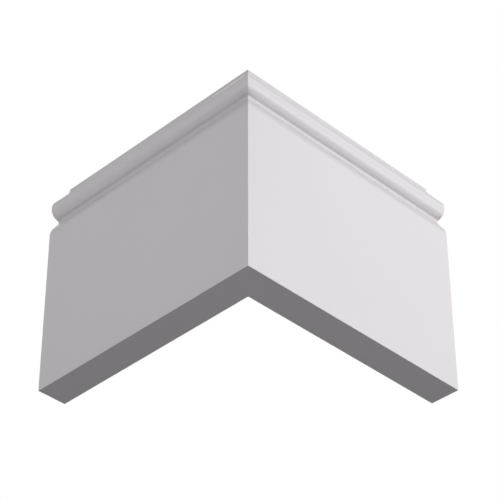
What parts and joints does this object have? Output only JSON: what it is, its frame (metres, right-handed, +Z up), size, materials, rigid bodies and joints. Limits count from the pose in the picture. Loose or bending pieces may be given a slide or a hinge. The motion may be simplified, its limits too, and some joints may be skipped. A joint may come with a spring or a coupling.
{
  "type": "skirting board",
  "caption": "Outside corner of a moulded skirting board, mitred and glued, with a plain face under a shoulder, cove, bead and hollow, painted white.",
  "frame": {"origin": "the corner where the two walls meet, at floor level: the back and underside of both boards meet there", "axes": "+Z up the wall, the left board runs along -X with its back on the wall plane Y = 0, the right board runs along +Y with its back on the wall plane X = 0, and the faces look along -Y and +X"},
  "size_m": [0.1535, 0.1535, 0.14],
  "materials": {
    "white_paint": "satin"
  },
  "bodies": {
    "root": {"left_board": "white_paint", "right_board": "white_paint"}
  },
  "joints": []
}
